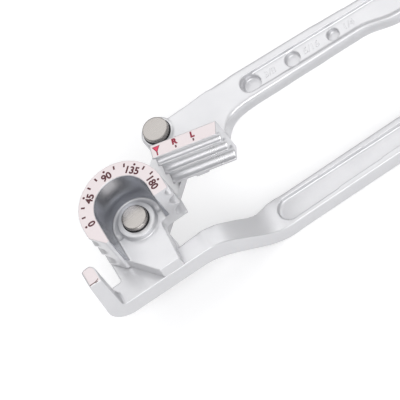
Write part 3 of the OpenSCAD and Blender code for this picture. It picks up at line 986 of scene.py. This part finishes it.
@dataclass
class Studio:
    """Floor, world, lamps and camera.

    Attributes:
        aim: The point at the middle of the photograph, in mm.
        azimuth: Camera's azimuth from -Y, in degrees.
        elevation: Camera's height above the horizon, in degrees.
        roll: Camera's roll, in degrees.
        distance: Camera's distance from the aim, in mm.
        view_w: Width that the picture covers at the aim, in mm.
        sensor_w: Width of the camera's sensor, in mm.
        clip_end: How far the camera sees, in metres.
        floor_w: Side of the floor, in metres.
        paper: Colour of the floor's paper.
        cloud_mm: Size of a cloud in the paper's fibre.
        dull: Least and most roughness of the paper.
        floor_lift: What the floor adds to its own light where it is seen or mirrored.
        horizon: Strength of the world's light at the horizon and below.
        zenith: The same straight above.
    """

    aim: tuple[float, float, float] = (34.5, -24.3, 65.22)
    azimuth: float = 7.66
    elevation: float = 56.72
    roll: float = 40.2
    distance: float = 6000.0
    view_w: float = 200.5
    sensor_w: float = 36.0
    clip_end: float = 20.0
    floor_w: float = 12.0
    paper: str = "#DCDCDD"
    cloud_mm: float = 25 / 3
    dull: tuple[float, float] = (0.8, 0.95)
    floor_lift: float = 0.36
    horizon: float = 0.3
    zenith: float = 0.72

    def camera(self) -> None:
        """Place the long-lens camera."""
        azimuth = math.radians(self.azimuth)
        elevation = math.radians(self.elevation)
        roll = math.radians(self.roll)
        back = Vector((math.sin(azimuth) * math.cos(elevation),
                       -math.cos(azimuth) * math.cos(elevation), math.sin(elevation)))
        level = Vector((math.cos(azimuth), math.sin(azimuth), 0))
        upright = back.cross(level)
        right = level * math.cos(roll) - upright * math.sin(roll)
        up = back.cross(right)
        eye = (Vector(self.aim) + back * self.distance) * MM
        bpy.ops.object.camera_add()
        camera = bpy.context.active_object
        camera.matrix_world = Matrix((
            (right.x, up.x, back.x, eye.x), (right.y, up.y, back.y, eye.y),
            (right.z, up.z, back.z, eye.z), (0, 0, 0, 1)))
        camera.data.sensor_width = self.sensor_w
        camera.data.lens = self.sensor_w * self.distance / self.view_w
        camera.data.clip_end = self.clip_end
        bpy.context.scene.camera = camera
        bpy.context.scene.view_settings.view_transform = "Standard"

    def floor(self) -> None:
        """Lay the pale floor that the bender lies on."""
        bpy.ops.mesh.primitive_plane_add(size=self.floor_w, location=(0, 0, 0))
        floor = bpy.context.active_object
        floor.name = "studio_floor"
        # Matt sweep paper: soft and even, with a shadow but no mirrored image
        material, tree, output = new_material("white_sweep_paper")
        place = add_node(tree, "ShaderNodeTexCoord").outputs["Object"]
        fibre = add_node(tree, "ShaderNodeTexNoise", None, {
            "Vector": place, "Scale": 1 / (self.cloud_mm * MM), "Detail": 2.0})
        rough = add_node(tree, "ShaderNodeMapRange", None, {
            "Value": fibre.outputs["Fac"], "To Min": self.dull[0], "To Max": self.dull[1]})
        paper = add_node(tree, "ShaderNodeBsdfPrincipled", None, {
            "Base Color": linear(self.paper), "Roughness": rough.outputs["Result"]})
        path = add_node(tree, "ShaderNodeLightPath")
        mirrored = add_node(tree, "ShaderNodeMath", {"operation": "MAXIMUM"}, {
            0: path.outputs["Is Glossy Ray"], 1: path.outputs["Is Transmission Ray"]})
        seen = add_node(tree, "ShaderNodeMath", {"operation": "MAXIMUM"}, {
            0: path.outputs["Is Camera Ray"], 1: mirrored.outputs["Value"]}).outputs["Value"]
        lift = add_node(tree, "ShaderNodeMath", {"operation": "MULTIPLY"}, {
            0: seen, 1: self.floor_lift})
        glow = add_node(tree, "ShaderNodeEmission", None, {
            "Color": linear("#FFFFFF"), "Strength": lift.outputs["Value"]})
        both = add_node(tree, "ShaderNodeAddShader", None, {
            0: paper.outputs["BSDF"], 1: glow.outputs["Emission"]})
        tree.links.new(both.outputs["Shader"], output.inputs["Surface"])
        paint(floor, material)

    def world(self) -> None:
        """Light the room softly from above, with a darker horizon."""
        world = bpy.data.worlds.new("soft_room")
        bpy.context.scene.world = world
        world.use_nodes = True
        tree = world.node_tree
        tree.nodes.clear()
        way = add_node(tree, "ShaderNodeTexCoord").outputs["Generated"]
        height = add_node(tree, "ShaderNodeSeparateXYZ", None, {"Vector": way})
        level = add_node(tree, "ShaderNodeMapRange", None, {
            "Value": height.outputs["Z"], "From Min": 0.0, "From Max": 1.0,
            "To Min": self.horizon, "To Max": self.zenith})
        sky = add_node(tree, "ShaderNodeBackground", None, {
            "Color": linear("#FFFFFF"), "Strength": level.outputs["Result"]})
        output = tree.nodes.new("ShaderNodeOutputWorld")
        tree.links.new(sky.outputs["Background"], output.inputs["Surface"])

    def lamp(self, name: str, place: tuple[float, float, float], size: float,
             power: float) -> None:
        """Hang one soft lamp that looks at the wheel.

        Args:
            name: The lamp's name.
            place: Where it hangs, in metres.
            size: Side of its square, in metres.
            power: Its power, in watts.
        """
        bpy.ops.object.light_add(type="AREA", location=place)
        lamp = bpy.context.active_object
        lamp.name = name
        lamp.data.size = size
        lamp.data.energy = power
        aim = Vector(self.aim) * MM - Vector(place)
        lamp.rotation_euler = aim.to_track_quat("-Z", "Y").to_euler()

    def build(self) -> None:
        """Set up the whole studio."""
        self.camera()
        self.floor()
        self.world()
        self.lamp("front_softbox", (0.1, -1.05, 1.15), 1.2, 13.0)
        self.lamp("back_softbox", (-0.12, 0.95, 1.45), 1.3, 5.0)
        self.lamp("right_softbox", (0.95, 0.75, 0.95), 0.9, 3.4)


# The bender


@dataclass
class Bender:
    """The whole bender, dressed sub-assembly by sub-assembly.

    Attributes:
        finishes: The finishes, each made once.
        shoe_turn: Turn of the shoe's long edges at rest, in degrees.
        arm_turn: Turn of the upper arm's long edges at rest, in degrees.
        lip_y: The shoe's lip line, across the shoe from the upper pin, in mm.
        jaw_line: Middle of the line on the jaw, in X and Y, and its turn.
        slot_floor_z: Height of the floor of the upper handle's slot.
        gauge_row: The first gauge hole, in X and Y.
        centre_head_h: Height of the centre pin's head.
        upper_head_h: Height of the upper pin's head.
    """

    finishes: Finishes
    shoe_turn: float = -14.8
    arm_turn: float = -2.8
    lip_y: float = -21.4
    jaw_line: tuple[float, float, float] = (-33.4, -30.3, 92.0)
    slot_floor_z: float = 50.02
    gauge_row: tuple[float, float] = (86.003, 26.491)
    centre_head_h: float = 3.2
    upper_head_h: float = 3.6

    def castings(self) -> tuple[bpy.types.Object, bpy.types.Object, bpy.types.Object]:
        """Build the four castings and the sleeve.

        Returns:
            The lower handle, the wheel and the shoe, which are printed on.
        """
        casting = self.finishes.casting
        lower = CastPart("lower_handle", "lower", 0.5, 3,
                         outline=OutlineRounding(30, 3.0, 62.0)).build(casting)
        wheel = CastPart("forming_wheel", "lower", 0.4, 4).build(casting)
        CastPart("upper_handle", "upper", 0.5, 3, self.arm_turn,
                 outline=OutlineRounding(90, 4.4, 62.0)).build(casting)
        shoe = CastPart("forming_shoe", "upper", 0.24, 4, self.shoe_turn,
                        edge=0.55).build(self.finishes.milled)
        RoundedPart("upper_sleeve", "upper", 0.4, "casting").build(casting)
        return lower, wheel, shoe

    def pins(self) -> None:
        """Build the two headed pins."""
        RoundedPart("centre_pin", "lower", 0.4).build(self.finishes.head)
        RoundedPart("upper_pin", "upper", 0.4).build(self.finishes.head)

    def prints(self, lower: bpy.types.Object, wheel: bpy.types.Object, shoe: bpy.types.Object,
               pin: Sequence[float]) -> None:
        """Print the scale, the jaw and the shoe, and raise the names in the slot.

        Args:
            lower: The lower handle.
            wheel: The forming wheel.
            shoe: The forming shoe.
            pin: The upper pin's place, in metres.
        """
        scale_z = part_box("forming_wheel")[1].z / MM
        DegreeScale(scale_z + INK_MM).build(wheel, self.finishes)
        line_x, line_y, turn = self.jaw_line
        jaw_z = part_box("lower_handle")[1].z / MM + INK_MM
        JawMark(Spot(line_x, line_y, jaw_z, turn)).build(lower, self.finishes)
        face_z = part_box("forming_shoe")[1].z / MM + INK_MM
        lip = Spot(pin[0] / MM, pin[1] / MM, face_z, self.shoe_turn).local(0, self.lip_y)
        ShoeMarks(lip).build(shoe, self.finishes)
        GaugeNames(Spot(*self.gauge_row, self.slot_floor_z, self.arm_turn)).build(self.finishes)

    def head_washers(self, pin: Sequence[float]) -> None:
        """Put the dark rings of painted shade under the pins' heads.

        Args:
            pin: The upper pin's place, in metres.
        """
        centre_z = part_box("centre_pin")[1].z / MM - self.centre_head_h
        upper_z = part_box("upper_pin")[1].z / MM - self.upper_head_h
        # Painted shade: the dark rings stand in for the shadowed gaps under the heads
        HeadWasher("lower", Spot(0.0, 0.0, centre_z)).build(
            "centre_head_shadow_ring", self.finishes.black)
        HeadWasher("upper", Spot(pin[0] / MM, pin[1] / MM, upper_z)).build(
            "upper_head_shadow_ring", self.finishes.black)

    def plain_parts(self) -> None:
        """Dress the frame's own nodes, whose shape stays as it is."""
        dressed = {
            "link": self.finishes.link,
            "centre_spacer": self.finishes.washer,
            "centre_washer": self.finishes.washer,
            "upper_washer": self.finishes.washer,
            "centre_clip": self.finishes.black,
            "upper_clip": self.finishes.black,
            "wheel_screw_inner": self.finishes.black,
            "wheel_screw_outer": self.finishes.black,
            "shoe_screw_left": self.finishes.black,
            "shoe_screw_right": self.finishes.black,
            "wheel_dowel_inner": self.finishes.washer,
            "wheel_dowel_outer": self.finishes.washer,
        }
        for node, material in dressed.items():
            paint(frame["nodes"][node], material)
            LOG.info("%s: %s", node, material.name)

    def build(self) -> None:
        """Build every piece in order."""
        swing = next(joint for joint in frame["joints"] if joint["name"] == "handle_swing")
        pin = swing["pos_m"]
        lower, wheel, shoe = self.castings()
        self.pins()
        self.prints(lower, wheel, shoe, pin)
        self.head_washers(pin)
        self.plain_parts()


def main() -> None:
    """Build the bender and its studio."""
    logging.basicConfig(level=logging.INFO, format="%(name)s: %(message)s")
    Studio().build()
    Bender(Finishes()).build()


if __name__ == "__main__":
    main()
